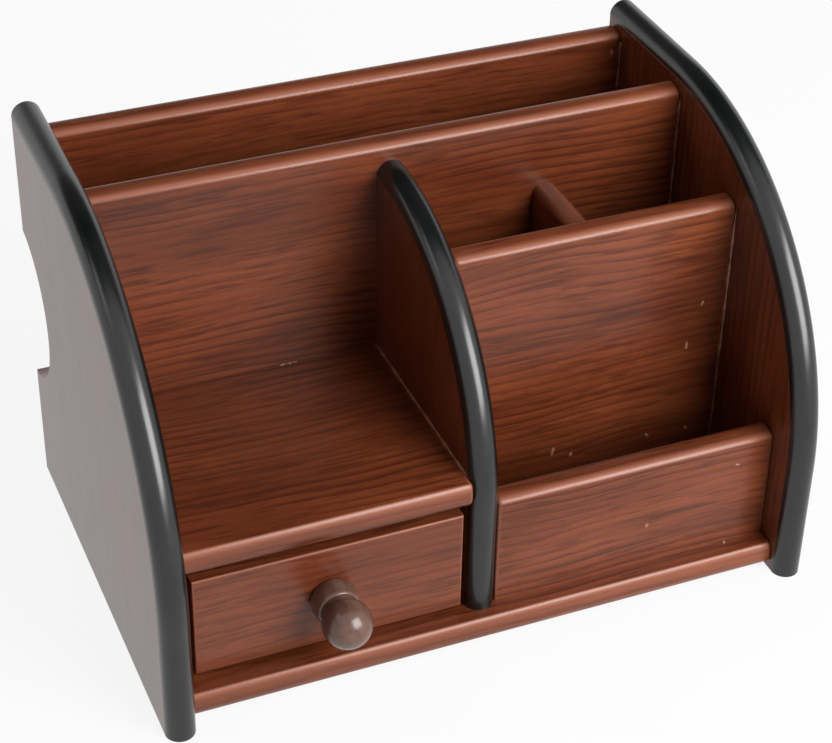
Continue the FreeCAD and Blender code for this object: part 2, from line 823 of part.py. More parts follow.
def knob_screw():
    """The pan-head screw that holds the knob, driven from inside the drawer."""
    body = new_body("knob_screw")
    half = new_sketch(body, "screw_half", "XZ_Plane")
    shank = S["screw_diameter"] / 2
    head = S["screw_head"] / 2
    thickness = S["screw_head_height"]
    rim = thickness / 2
    tip = S["board"] + S["screw_bite"]
    steps = [
        line_to(head - rim, -thickness),
        line_to(head, -thickness + rim),
        line_to(head, 0),
        line_to(shank, 0),
        line_to(shank, tip),
        line_to(0, tip),
        line_to(0, -thickness),
    ]
    draw(half, (0, -thickness), steps)
    revolve(body, "screw_turned", half)
    place(body, KNOB_MIDDLE, row_y(PANEL_REAR), KNOB_LEVEL, Rotation(Vector(1, 0, 0), 90))
    return body


# ---------------------------------------------------------------- build and write


def check(pieces):
    """Stops if any object failed, any sketch is loose or any shape is not one solid."""
    for thing in doc.Objects:
        if "Invalid" in thing.State or "Error" in thing.State:
            raise RuntimeError(f"{thing.Name} failed: {thing.State}")
        if thing.isDerivedFrom("Sketcher::SketchObject") and not thing.FullyConstrained:
            raise RuntimeError(f"{thing.Name} is not fully constrained")
    for piece in pieces:
        shape = piece.Shape
        if shape.isNull() or not shape.isValid() or not shape.Solids:
            raise RuntimeError(f"{piece.Label} has no valid shape")


def write(pieces):
    os.makedirs("parts", exist_ok=True)
    for piece in pieces:
        piece.Shape.exportStep(f"parts/{piece.Label}.step")
        box = piece.Shape.BoundBox
        print(f"{piece.Label:18s} {len(piece.Shape.Solids):2d} {piece.Shape.Volume:10.1f} mm3",
              f"x {box.XMin:.1f}..{box.XMax:.1f} y {box.YMin:.1f}..{box.YMax:.1f}",
              f"z {box.ZMin:.1f}..{box.ZMax:.1f}")


def build():
    pieces = sides() + divider() + [base_board()] + letter_panels()
    pieces += [pen_panel(), front_panel(), pen_partition(), shelf()]
    pieces += [drawer_front()] + drawer_box() + [knob(), knob_screw()]
    pieces.append(dowel_set())
    doc.recompute()
    check(pieces)
    write(pieces)


build()
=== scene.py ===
# %% [markdown]
# # A pen stand with a drawer, dressed for its portrait
#
# The solids of this stand come from its CAD model: boards, black edging, a drawer.
# This lesson gives each of them its real skin.  Every new surface is a formula on a
# grid, worked out with numpy, and every finish is a small network of nodes.  Lengths
# are metres, +Z is up, and the drawer faces -Y.

# %% Load the frame that everything has to fit
import json
import math
import bpy
import numpy as np
from mathutils import Matrix, Vector

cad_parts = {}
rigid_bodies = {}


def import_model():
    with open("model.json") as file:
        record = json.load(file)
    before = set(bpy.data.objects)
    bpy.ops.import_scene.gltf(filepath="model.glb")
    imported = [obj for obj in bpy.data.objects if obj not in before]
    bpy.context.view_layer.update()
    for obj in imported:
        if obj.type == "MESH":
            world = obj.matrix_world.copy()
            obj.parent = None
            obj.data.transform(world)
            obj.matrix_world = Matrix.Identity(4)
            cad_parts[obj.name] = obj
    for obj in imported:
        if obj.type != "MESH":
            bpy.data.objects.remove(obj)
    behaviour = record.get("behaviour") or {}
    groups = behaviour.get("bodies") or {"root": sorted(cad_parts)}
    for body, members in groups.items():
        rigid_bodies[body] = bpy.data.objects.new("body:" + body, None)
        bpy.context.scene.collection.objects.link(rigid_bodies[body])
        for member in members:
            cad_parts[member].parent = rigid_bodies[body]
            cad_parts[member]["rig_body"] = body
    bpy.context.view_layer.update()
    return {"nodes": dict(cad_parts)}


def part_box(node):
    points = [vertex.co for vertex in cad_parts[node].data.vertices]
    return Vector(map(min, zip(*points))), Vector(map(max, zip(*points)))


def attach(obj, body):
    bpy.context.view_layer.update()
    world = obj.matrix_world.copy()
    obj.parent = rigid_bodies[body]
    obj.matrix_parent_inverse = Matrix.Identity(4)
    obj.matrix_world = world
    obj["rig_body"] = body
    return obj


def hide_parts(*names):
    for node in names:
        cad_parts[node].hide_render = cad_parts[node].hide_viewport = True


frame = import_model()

MM = 0.001

# %% [markdown]
# ## From a grid of points to a mesh
#
# Nearly all pieces here are a stack of closed rings: a board is its outline repeated
# from one end to the other, a bead is its section carried along a bow, a knob is a
# circle that swells and shrinks.  So one helper is enough: it takes rings as an array
# of shape (rings, points, 3), joins each ring to the next with four-sided faces and
# closes both ends.  Modifiers could build the same from a few points each, but a grid
# that is worked out shows its formula and is the same every time.  Edges sharper than a
# chosen angle stay crisp and the rest is shaded smooth, which is what a film pulled
# round a small rounding looks like.

# %% Rings to mesh
SHARP = math.radians(32)


def mesh_from_rings(name, rings, stretch=None):
    """Quads between neighbouring rings: corner (r, k) joins (r, k+1), (r+1, k+1), (r+1, k)."""
    count, around = rings.shape[:2]
    index = np.arange(count * around).reshape(count, around)
    here, there = index[:-1], index[1:]
    quads = np.stack([here, np.roll(here, -1, 1), np.roll(there, -1, 1), there], -1)
    faces = quads.reshape(-1, 4).tolist()
    faces.append(index[0][::-1].tolist())
    faces.append(index[-1].tolist())
    mesh = bpy.data.meshes.new(name)
    mesh.from_pydata(rings.reshape(-1, 3).tolist(), [], faces)
    # the stretching values make the film paler: stretched film, and a painted highlight on the edges
    if stretch is not None:
        layer = mesh.attributes.new("stretch", "FLOAT", "POINT")
        layer.data.foreach_set("value", stretch.astype(np.float32).ravel())
    return mesh


def piece_from_mesh(name, mesh, material):
    """Shades the mesh smooth between crisp edges and puts it in the scene."""
    mesh.validate()
    mesh.shade_smooth()
    mesh.set_sharp_from_angle(angle=SHARP)
    mesh.materials.append(material)
    piece = bpy.data.objects.new(name, mesh)
    bpy.context.scene.collection.objects.link(piece)
    return piece


def stands_for(piece, node):
    """The piece takes the place and the body of one CAD node, whose mesh is hidden."""
    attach(piece, frame["nodes"][node]["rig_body"])
    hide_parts(node)
    print(piece.name, "stands for", node, "with", len(piece.data.polygons), "faces")


print("edges stay crisp from", round(math.degrees(SHARP)), "degrees")

# %% [markdown]
# ## Outlines and eased edges
#
# A board is an outline with a thickness.  Real boards have no razor edges: the film
# turns round a small radius.  To get that, the outline is drawn a little smaller at
# both ends and grows to full size over a quarter circle.  A bevel modifier could do
# this too, but here each point can ask for its own share of the rounding.  A narrow
# flat band just inside the end keeps the big flat face perfectly flat when it is shaded.
#
# Each point of an outline carries two more numbers: how far the film is stretched
# there, because stretched film turns paler and loses its grain, which also paints a
# highlight on the rounded edges, and how much of the end's easing the point takes.

# %% Outline helpers
def arc(centre, radius, start, stop, steps):
    """Points on a circle: centre + radius * (cos a, sin a), a from start to stop in degrees."""
    a = np.radians(np.linspace(start, stop, steps + 1))
    return np.column_stack([centre[0] + radius * np.cos(a), centre[1] + radius * np.sin(a)])


def rows(points, stretch=0.0, ease=1.0):
    """Outline rows (u, v, stretching and painted highlight, share of the end's easing)."""
    points = np.asarray(points, float)
    table = np.empty((len(points), 4))
    table[:, :2] = points
    table[:, 2] = stretch
    table[:, 3] = ease
    return table


def thin_out(outline, gap=1e-6):
    """Drops a point that repeats the one before it, also round the loop's end."""
    step = outline[:, :2] - np.roll(outline[:, :2], 1, 0)
    return outline[np.linalg.norm(step, axis=1) > gap]


def inset(outline, distance):
    """Moves an anticlockwise outline inwards: each point goes along the mitre of its two edges."""
    points, share = outline[:, :2], outline[:, 3:]
    ahead = np.roll(points, -1, 0) - points
    ahead /= np.linalg.norm(ahead, axis=1, keepdims=True)
    normal = np.column_stack([-ahead[:, 1], ahead[:, 0]])
    before = np.roll(normal, 1, 0)
    mitre = (normal + before) / (1 + (normal * before).sum(1, keepdims=True))
    return points + distance * share * mitre


print("a quarter circle in two steps:", arc((0, 0), 1, 0, 90, 2).round(3).tolist())

# %% Boards with eased ends
EASE_STEPS = 4
FLAT_BAND = 0.3 * MM


def eased_rings(outline, low, high, ease_low, ease_high):
    """Rings from low to high, each as (place, outline, how strongly the film bends there).

    Near an end with easing e, a ring lies e(1 - cos a) from the end and is drawn e(1 - sin a)
    smaller, while a runs over a quarter turn.  The film bends by sin 2a, most in the middle.
    """
    a = np.linspace(0, math.pi / 2, EASE_STEPS + 1)
    places = [low] + list(low + ease_low * (1 - np.cos(a)))
    insets = [ease_low + FLAT_BAND] + list(ease_low * (1 - np.sin(a)))
    places += list(high - ease_high * (1 - np.cos(a[::-1]))) + [high]
    insets += list(ease_high * (1 - np.sin(a[::-1]))) + [ease_high + FLAT_BAND]
    bend = [0.0] + list(np.sin(2 * a)) * 2 + [0.0]
    return [(place, inset(outline, d), turned) for place, d, turned in zip(places, insets, bend)]


def along(axis, place, outline):
    """Lays a flat outline across X as (y, z), or across Y as (-x, z), so that faces point outward."""
    fixed = np.full(len(outline), place)
    if axis == "X":
        return np.column_stack([fixed, outline[:, 0], outline[:, 1]])
    return np.column_stack([-outline[:, 0], fixed, outline[:, 1]])


def board_mesh(name, axis, outline, low, high, ease_low, ease_high=None, end_stretch=0.0):
    """A board: its outline repeated along an axis, with eased ends whose film is stretched, paler there as
    stretched film and as a painted highlight.
    """
    if ease_high is None:
        ease_high = ease_low
    outline = thin_out(outline)
    rings = eased_rings(outline, low, high, ease_low, ease_high)
    stack = np.array([along(axis, place, ring) for place, ring, _ in rings])
    # paleness per point, from the outline or the eased end's bend: stretched film and a painted highlight
    stretch = np.array([np.maximum(outline[:, 2], end_stretch * turned) for _, _, turned in rings])
    return mesh_from_rings(name, stack, stretch)


print("each eased end has", EASE_STEPS + 2, "rings")

# %% [markdown]
# ## The finish: wood-pattern film
#
# The boards are wrapped in printed film: a red-brown ground, dark growth lines a few
# millimetres apart that wander together, short pores and slow drifts of tone, all
# under a semi-gloss skin.  A picture of wood would need an image file; noise needs
# none and never repeats.  Growth lines are a wave texture and the rest is noise, with
# coordinates squeezed across the grain and stretched along it.  Another noise first
# bends the coordinates, so that the lines wander as grain does.  Coordinates are Object
# coordinates, and as every piece sits at the origin they are real places in metres.
#
# The skin's roughness is one plain number.  Roughness that follows a noise draws thin
# crack-like lines into the reflections of a bright surround.

# %% Colours
def srgb(red, green, blue):
    """A colour given as 0..255 display values, turned into the linear light that shaders use."""
    value = np.array([red, green, blue]) / 255
    linear = np.where(value <= 0.04045, value / 12.92, ((value + 0.055) / 1.055) ** 2.4)
    return (*linear.tolist(), 1.0)


def grey(value):
    """A neutral colour, given in linear light."""
    return (value, value, value, 1.0)


print("display grey 128 is", round(srgb(128, 128, 128)[0], 3), "in linear light")

# %% A small helper for node networks
class Nodes:
    """A material's node tree with short ways to add and join nodes."""

    def __init__(self, name):
        self.material = bpy.data.materials.new(name)
        self.material.use_nodes = True
        self.tree = self.material.node_tree
        self.shader = self.tree.nodes["Principled BSDF"]

    def add(self, kind, **settings):
        """A new node with some of its settings."""
        node = self.tree.nodes.new(kind)
        for key, value in settings.items():
            setattr(node, key, value)
        return node

    def feed(self, socket, value):
        """Links a socket to another node's output, or gives it a constant."""
        if hasattr(value, "is_linked"):
            self.tree.links.new(value, socket)
        else:
            socket.default_value = value

    def set(self, node, **values):
        """Feeds several sockets by name, an underscore standing for a space."""
        for key, value in values.items():
            self.feed(node.inputs[key.replace("_", " ")], value)

    def math(self, operation, first, second):
        """One sum, product or comparison of two values."""
        node = self.add("ShaderNodeMath", operation=operation)
        self.feed(node.inputs[0], first)
        self.feed(node.inputs[1], second)
        return node.outputs[0]

    def place(self):
        """The point being shaded, in the object's own metres."""
        return self.add("ShaderNodeTexCoord").outputs["Object"]

    def stretched(self, vector, scale):
        """Coordinates multiplied by a scale for each axis."""
        node = self.add("ShaderNodeMapping")
        self.set(node, Vector=vector, Scale=scale)
        return node.outputs[0]

    def noise(self, vector, scale=1.0, detail=4.0, roughness=0.55):
        """Cloudy noise; its outputs are Fac and Color."""
        node = self.add("ShaderNodeTexNoise")
        self.set(node, Vector=vector, Scale=scale, Detail=detail, Roughness=roughness)
        return node.outputs

    def ramp(self, value, *stops):
        """Turns a value into colours, given as (position, colour) stops."""
        node = self.add("ShaderNodeValToRGB")
        self.feed(node.inputs[0], value)
        elements = node.color_ramp.elements
        while len(elements) < len(stops):
            elements.new(0.5)
        for element, (position, colour) in zip(elements, stops):
            element.position = position
            element.color = colour
        return node.outputs[0]

    def mix(self, share, first, second):
        """Blends two colours: of this node's sockets, 6 and 7 are its colours, and output 2."""
        node = self.add("ShaderNodeMix", data_type="RGBA")
        self.feed(node.inputs[0], share)
        self.feed(node.inputs[6], first)
        self.feed(node.inputs[7], second)
        return node.outputs[2]

    def bump(self, height, distance, strength):
        """Tilts the shading as if the surface rose by distance where height is 1."""
        node = self.add("ShaderNodeBump")
        self.set(node, Height=height, Distance=distance, Strength=strength)
        self.set(self.shader, Normal=node.outputs[0])


print("node helpers:", ", ".join(name for name in vars(Nodes) if not name.startswith("_")))

# %% How closely each layer of the film repeats
AXES = {"X": 0, "Y": 1, "Z": 2}

# scales per metre, first along the grain and then across it
WANDER = (6, 12)
DRIFT = (10, 45)
GROWTH_LINES = (2.6, 165)
LINE_PATCHES = (14, 60)
FINE_STREAKS = (40, 620)
PORES = (170, 1700)


def grain_scale(axis, lengthwise, across):
    """Scale factors: low along the grain, high across it."""
    scale = [across] * 3
    scale[AXES[axis]] = lengthwise
    return scale


print("pores for grain along X:", grain_scale("X", *PORES))

# %% Growth lines that wander
BEND = 14.0 * MM


def bent_place(n, place, axis):
    """Place + bend x noise, across the grain only."""
    wander = n.noise(n.stretched(place, grain_scale(axis, *WANDER)), detail=2.0)["Color"]
    shift = n.add("ShaderNodeVectorMath", operation="MULTIPLY_ADD")
    n.feed(shift.inputs[0], wander)
    shift.inputs[1].default_value = [0.0 if k == AXES[axis] else BEND for k in range(3)]
    n.feed(shift.inputs[2], place)
    return shift.outputs[0]


def growth_lines(n, place, bent, axis):
    """A saw-shaped wave, dark at its front and fading out, stronger in some patches than in others."""
    wave = n.add("ShaderNodeTexWave", bands_direction="DIAGONAL", wave_profile="SAW")
    n.set(wave, Vector=n.stretched(bent, grain_scale(axis, *GROWTH_LINES)), Scale=1.0)
    n.set(wave, Distortion=5.0, Detail=2.0, Detail_Scale=0.4, Detail_Roughness=0.6)
    fade = ((0.0, grey(0.8)), (0.14, grey(0.6)), (0.5, grey(0.1)), (0.85, grey(0)))
    lines = n.ramp(wave.outputs["Fac"], *fade)
    patch = n.noise(n.stretched(place, grain_scale(axis, *LINE_PATCHES)), detail=3.0)["Fac"]
    return n.math("MULTIPLY", lines, n.ramp(patch, (0.38, grey(0.25)), (0.6, grey(1))))


print("a line wanders up to about", round(BEND / 2 / MM), "mm to either side")

# %% The film itself
FILM_ROUGHNESS = 0.28
SKIN_SCALE = 280.0
GRAIN_LOST = 0.8


def film(name, axis, gloss, ground, light, streak, pale):
    """Wood-pattern film: tones drift, growth lines and pores lie on top, stretched film turns paler, which
    also paints a highlight on the edges.
    """
    n = Nodes(name)
    place = n.place()
    bent = bent_place(n, place, axis)
    drift = n.noise(n.stretched(bent, grain_scale(axis, *DRIFT)), detail=3.0)["Fac"]
    tone = n.mix(n.ramp(drift, (0.36, grey(0)), (0.66, grey(1))), ground, light)
    lines = growth_lines(n, place, bent, axis)
    fine_place = n.stretched(bent, grain_scale(axis, *FINE_STREAKS))
    fine = n.noise(fine_place, detail=4.0, roughness=0.6)["Fac"]
    fine = n.ramp(fine, (0.48, grey(0)), (0.66, grey(0.65)))
    pores = n.noise(n.stretched(bent, grain_scale(axis, *PORES)), detail=2.0)["Fac"]
    pores = n.ramp(pores, (0.52, grey(0)), (0.68, grey(0.3)))
    dark = n.math("MAXIMUM", n.math("MAXIMUM", lines, fine), pores)

    # where the film is stretched it turns paler and plainer; this paleness is also a painted highlight on
    # rounded edges
    stretch = n.add("ShaderNodeAttribute", attribute_name="stretch").outputs["Fac"]
    left = n.math("SUBTRACT", 1.0, n.math("MULTIPLY", stretch, GRAIN_LOST))
    colour = n.mix(n.math("MULTIPLY", dark, left), tone, streak)
    colour = n.mix(stretch, colour, pale)
    n.set(n.shader, Base_Color=colour, Roughness=FILM_ROUGHNESS, Specular_IOR_Level=gloss)
    skin = n.noise(place, scale=SKIN_SCALE, detail=2.0)["Fac"]
    height = n.math("SUBTRACT", skin, n.math("MULTIPLY", pores, 0.5))
    n.bump(height, distance=0.02 * MM, strength=0.35)
    return n.material


print("film roughness:", FILM_ROUGHNESS)

# %% Four films: three directions of grain, and the drawer's
SOFT_GLOSS = 0.36
FULL_GLOSS = 0.48
# the paler colour of stretched film, which also serves as a painted highlight on rounded edges
FILM_PALE_SHEEN = srgb(156, 98, 76)

# colours of the ground, its lighter drifts, the dark marks and the stretched film, paler also as a painted
# highlight
BOARD_TONES = (srgb(99, 46, 23), srgb(124, 63, 36), srgb(46, 16, 9), FILM_PALE_SHEEN)
DRAWER_TONES = (srgb(106, 52, 30), srgb(128, 68, 42), srgb(60, 24, 14), FILM_PALE_SHEEN)
film_x = film("film_grain_sideways", "X", SOFT_GLOSS, *BOARD_TONES)
film_y = film("film_grain_forwards", "Y", SOFT_GLOSS, *BOARD_TONES)
film_z = film("film_grain_upright", "Z", FULL_GLOSS, *BOARD_TONES)
film_drawer = film("film_drawer_front", "X", SOFT_GLOSS, *DRAWER_TONES)
print("film materials:", film_x.name, film_y.name, film_z.name, film_drawer.name)

# %% [markdown]
# ## The curved boards
#
# The two sides and the divider share one outline: flat foot, straight back, a flat
# top that runs into one large bow, and a straight front.  The sides have a round
# finger scoop in the back edge.  A maker cuts them from board with a template.  In
# Blender the outline could be a curve that is extruded; here it is worked out from the
# node's own box and two radii, so it can't drift away from the solid under it.

# %% Outlines of the curved boards
SCOOP_RADIUS = 30.5 * MM
SCOOP_LEVEL = 76.0 * MM
SCOOP_INSET = 4.0 * MM
SIDE_BOW = 104.75 * MM
DIVIDER_BOW = 82.5 * MM
CUT_EASE = 0.25 * MM
SCOOP_STEPS = 40
BOW_STEPS = 56


def bow_outline(node, bow, scoop):
    """(y, z) outline, anticlockwise seen from +X: front foot, back foot, scoop, top, bow."""
    low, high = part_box(node)
    front, back, foot, top = low.y, high.y, low.z, high.z
    parts = [np.array([[front, foot], [back, foot]])]
    if scoop:
        half = math.degrees(math.acos(-SCOOP_INSET / SCOOP_RADIUS))
        centre = (back + SCOOP_INSET, SCOOP_LEVEL)
        parts.append(arc(centre, SCOOP_RADIUS, 360 - half, half, SCOOP_STEPS))
    parts.append(np.array([[back, top]]))
    parts.append(arc((front + bow, top - bow), bow, 90, 180, BOW_STEPS))
    return rows(np.concatenate(parts))


def curved_board(node, bow, scoop):
    """The outline carried across X, from one face of the board to the other."""
    low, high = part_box(node)
    mesh = board_mesh(node, "X", bow_outline(node, bow, scoop), low.x, high.x, CUT_EASE)
    stands_for(piece_from_mesh(f"{node}_film", mesh, film_z), node)


for node, bow, scoop in (
    ("side_left", SIDE_BOW, True),
    ("side_right", SIDE_BOW, True),
    ("divider", DIVIDER_BOW, False),
):
    curved_board(node, bow, scoop)

# %% [markdown]
# ## The straight boards
#
# Panels and shelves are sawn from long film-wrapped mouldings: a panel has both top
# edges rounded, a shelf or the base has a rounded nose.  Where the film turns round an
# edge it is stretched and paler, and that paleness is also a painted highlight on the
# rounding.  The roundings are drawn out, so each is part of an ellipse, which a bevel
# can't give.  The section is drawn across X and carried from one side to the other, and
# the sawn ends are eased a little, most of all at the rounded edge.

# %% Sections of the straight boards
EDGE_ROUND = 3.0 * MM
TOP_DEEP = 5.5 * MM
NOSE_DEEP = 2.0 * MM
NOSE_TALL = 5.0 * MM
NOSE_EASE = 0.5
END_EASE = 1.4 * MM
# paleness of the eased ends: stretched film and a painted highlight
END_STRETCH_AND_SHEEN = 0.35
FOOT_EASE = 0.3
TURN_STEPS = 10


def turned_edge(centre, deep, tall, start, stop, stretches):
    """Part of an ellipse, centre + (deep cos a, tall sin a), with its stretching at four even steps, which
    sets the film's paleness and so a painted highlight.
    """
    points = arc((0, 0), 1, start, stop, TURN_STEPS) * (deep, tall) + centre
    along_arc = np.linspace(0, 3, TURN_STEPS + 1)
    return rows(points, np.interp(along_arc, range(4), stretches))


def panel_section(low, high):
    """(y, z) section of a standing board: two rounded corners at the top, the front one drawn out."""
    r = EDGE_ROUND
    front, back, foot, top = low.y, high.y, low.z, high.z
    # the four numbers are the paleness along each rounding, peaked where a painted highlight lies
    rear_turn = turned_edge((back - r, top - r), r, r, 0, 90, (0.0, 0.2, 0.1, 0.0))
    front_turn = turned_edge((front + TOP_DEEP, top - r), TOP_DEEP, r, 90, 180, (0.0, 0.1, 0.9, 0.0))
    return np.concatenate([rows([[front, foot], [back, foot]], ease=FOOT_EASE), rear_turn, front_turn])


def nose_section(low, high):
    """(y, z) section of a lying board: a flat half ellipse at the front, high in its upper part."""
    front, back, foot, top = low.y, high.y, low.z, high.z
    centre = (front + NOSE_DEEP, top - NOSE_TALL)
    # the four numbers are the paleness along each rounding, peaked where a painted highlight lies
    upper = turned_edge(centre, NOSE_DEEP, NOSE_TALL, 90, 180, (0.0, 0.9, 0.25, 0.1))
    lower = turned_edge(centre, NOSE_DEEP, centre[1] - foot, 180, 270, (0.1, 0.05, 0.0, 0.0))
    section = np.concatenate([rows([[back, foot], [back, top]], ease=FOOT_EASE), upper, lower[1:]])
    section[:, 3] *= NOSE_EASE
    return section


print("a panel's top edge is", TOP_DEEP / MM, "mm deep, a nose's upper part", NOSE_TALL / MM, "mm tall")

# %% Four panels, the shelf and the base
for node, section in (
    ("back_panel", panel_section),
    ("middle_panel", panel_section),
    ("pen_panel", panel_section),
    ("front_panel", panel_section),
    ("shelf", nose_section),
    ("base_board", nose_section),
):
    low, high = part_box(node)
    outline = section(low, high)
    mesh = board_mesh(node, "X", outline, low.x, high.x, END_EASE, end_stretch=END_STRETCH_AND_SHEEN)
    stands_for(piece_from_mesh(f"{node}_film", mesh, film_x), node)

# %% The partition between the pens runs from back to front
PARTITION_EASE = 0.1 * MM


def partition_section(low, high):
    """(-x, z) section of the partition: two rounded corners at the top."""
    r = EDGE_ROUND
    left, right, foot, top = -high.x, -low.x, low.z, high.z
    return np.concatenate([
        rows([[left, foot], [right, foot]]),
        # the four numbers are the paleness along each rounding, peaked where a painted highlight lies
        turned_edge((right - r, top - r), r, r, 0, 90, (0.0, 0.2, 0.2, 0.1)),
        turned_edge((left + r, top - r), r, r, 90, 180, (0.1, 0.3, 0.3, 0.0)),
    ])


low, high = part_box("pen_partition")
outline = partition_section(low, high)
mesh = board_mesh("pen_partition", "Y", outline, low.y, high.y, PARTITION_EASE)
stands_for(piece_from_mesh("pen_partition_film", mesh, film_y), "pen_partition")

# %% [markdown]
# ## The black edging
#
# A half-round plastic bead with a barb is pressed into a groove along the curved
# edges.  It is extruded by the metre and bent round the board.  A curve with a bevel
# profile could carry the section too, but may twist it.  Here, at each point of the
# path, the section stands square to it, one of its axes along X and the other along
# the outward normal, so it can't twist.

# %% Glossy black plastic
EDGING_ROUGHNESS = 0.26
EDGING_GLOSS = 0.6


def black_plastic():
    """Deep glossy black with the faint ripple of extruded plastic."""
    n = Nodes("black_edging_gloss")
    place = n.place()
    haze = n.noise(place, scale=60.0, detail=3.0)["Fac"]
    colour = n.ramp(haze, (0.3, srgb(10, 12, 12)), (0.7, srgb(22, 24, 23)))
    n.set(n.shader, Base_Color=colour, Roughness=EDGING_ROUGHNESS, Specular_IOR_Level=EDGING_GLOSS)
    n.bump(n.noise(place, scale=420.0, detail=3.0)["Fac"], distance=0.02 * MM, strength=0.35)
    return n.material


edging = black_plastic()
print("edging material:", edging.name)

# %% The bead's section and its path
BARB_HALF = 1.0 * MM
BARB_DEPTH = 6.0 * MM
BEAD_STEPS = 24
PATH_STEPS = 72


def bead_section(radius):
    """(x, out) section, anticlockwise: a half circle on the board's edge and the barb below it."""
    bead = arc((0, 0), radius, 0, 180, BEAD_STEPS)
    barb = [[-BARB_HALF, 0], [-BARB_HALF, -BARB_DEPTH], [BARB_HALF, -BARB_DEPTH], [BARB_HALF, 0]]
    return np.concatenate([bead, barb])


def bow_path(front, back, foot, top, bow):
    """Points and outward normals along the board's edge: flat top, quarter bow, straight front."""
    a = np.radians(np.linspace(90, 180, PATH_STEPS + 1))
    centre = np.array([front + bow, top - bow])
    normal = np.column_stack([np.cos(a), np.sin(a)])
    points = centre + bow * normal
    points = np.concatenate([[[back, top]], points, [[front, foot]]])
    normal = np.concatenate([[[0, 1]], normal, [[-1, 0]]])
    return points, normal


print("the edging's section has", len(bead_section(1.0)), "points, its path", PATH_STEPS + 3)

# %% Three lengths of edging
def edging_mesh(node, board, bow):
    """Ring r, point k = path(r) + out(k) * normal(r) + x(k) along X."""
    low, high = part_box(node)
    board_low, board_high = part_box(board)
    middle = (low.x + high.x) / 2
    section = bead_section((high.x - low.x) / 2)
    points, normal = bow_path(board_low.y, board_high.y, board_low.z, board_high.z, bow)
    flat = points[:, None, :] + section[None, :, 1, None] * normal[:, None, :]
    across = np.broadcast_to(middle + section[:, 0], flat.shape[:2])
    return mesh_from_rings(node, np.concatenate([across[..., None], flat], -1))


for node, board, bow in (
    ("side_trim_left", "side_left", SIDE_BOW),
    ("side_trim_right", "side_right", SIDE_BOW),
    ("divider_trim", "divider", DIVIDER_BOW),
):
    bead = piece_from_mesh(f"{node}_bead", edging_mesh(node, board, bow), edging)
    stands_for(bead, node)

# %% [markdown]
# ## The drawer
#
# Its face is a piece of the same board with lightly eased edges.  The box behind it is
# plain light board, which shows only when the drawer is open.  A cube with a bevel
# would have the same shape, but the board helper also marks where the film is
# stretched, and there the face's edges are painted paler: stretched film, and a painted
# highlight.  All of it rides on the drawer's body and moves with it.

# %% The drawer's face
FACE_EASE = 0.8 * MM
# paleness of the face's eased edges: stretched film and a painted highlight
FACE_STRETCH_AND_SHEEN = 0.7
REAR_EASE = 0.2 * MM


def plate_outline(low, high):
    """(-x, z) rectangle."""
    left, right = -high.x, -low.x
    return rows([[left, low.z], [right, low.z], [right, high.z], [left, high.z]])


low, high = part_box("drawer_front")
outline = plate_outline(low, high)
mesh = board_mesh("drawer_front", "Y", outline, low.y, high.y, FACE_EASE, REAR_EASE, FACE_STRETCH_AND_SHEEN)
stands_for(piece_from_mesh("drawer_front_film", mesh, film_drawer), "drawer_front")

# %% The drawer's box
BOX_EASE = 0.4 * MM


def plain_board(name, axis):
    """Light plain wood with faint straight grain."""
    n = Nodes(name)
    place = n.place()
    grain = n.noise(n.stretched(place, grain_scale(axis, 20, 420)), detail=4.0)["Fac"]
    patch = n.noise(n.stretched(place, grain_scale(axis, 10, 60)), detail=2.0)["Fac"]
    colour = n.ramp(grain, (0.3, srgb(196, 168, 130)), (0.7, srgb(170, 138, 100)))
    colour = n.mix(n.ramp(patch, (0.4, grey(0)), (0.7, grey(0.3))), colour, srgb(150, 118, 84))
    rough = n.ramp(grain, (0.3, grey(0.5)), (0.7, grey(0.66)))
    n.set(n.shader, Base_Color=colour, Roughness=rough)
    n.bump(grain, distance=0.04 * MM, strength=0.5)
    return n.material


for node, grain in (
    ("drawer_side_left", "Y"),
    ("drawer_side_right", "Y"),
    ("drawer_back", "X"),
    ("drawer_bottom", "X"),
):
    low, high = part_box(node)
    mesh = board_mesh(node, "Y", plate_outline(low, high), low.y, high.y, BOX_EASE)
    board = piece_from_mesh(f"{node}_board", mesh, plain_board(f"{node}_wood", grain))
    stands_for(board, node)

# %% [markdown]
# ## The knob, its screw and the dowels
#
# The knob is turned: a rounded collar against the drawer and a ball, with hardly any
# neck between them.  That is one profile carried round an axis, as a lathe does, or a
# Screw modifier.  The screw's pan head has a cross recess.  To cut it with a Boolean
# leaves untidy faces, so its surface is a height over a disc: a flat dome, less a
# cross-shaped dip with steep walls.  The dowels are hidden in their bores, so they keep
# the meshes of the solids and only get a better wood.

# %% Dark lacquer
def knob_lacquer():
    """Dark brown lacquer over turned wood, very smooth."""
    n = Nodes("knob_lacquer_gloss")
    place = n.place()
    rings = n.noise(n.stretched(place, grain_scale("Y", 60, 500)), detail=3.0)["Fac"]
    cloud = n.noise(place, scale=90.0, detail=3.0)["Fac"]
    colour = n.ramp(cloud, (0.3, srgb(92, 64, 54)), (0.7, srgb(108, 78, 66)))
    colour = n.mix(n.ramp(rings, (0.45, grey(0)), (0.7, grey(0.5))), colour, srgb(68, 43, 35))
    rough = n.ramp(cloud, (0.3, grey(0.2)), (0.7, grey(0.27)))
    n.set(n.shader, Base_Color=colour, Roughness=rough)
    n.bump(n.noise(place, scale=300.0, detail=2.0)["Fac"], distance=0.03 * MM, strength=0.25)
    return n.material


lacquer = knob_lacquer()
print("knob material:", lacquer.name)

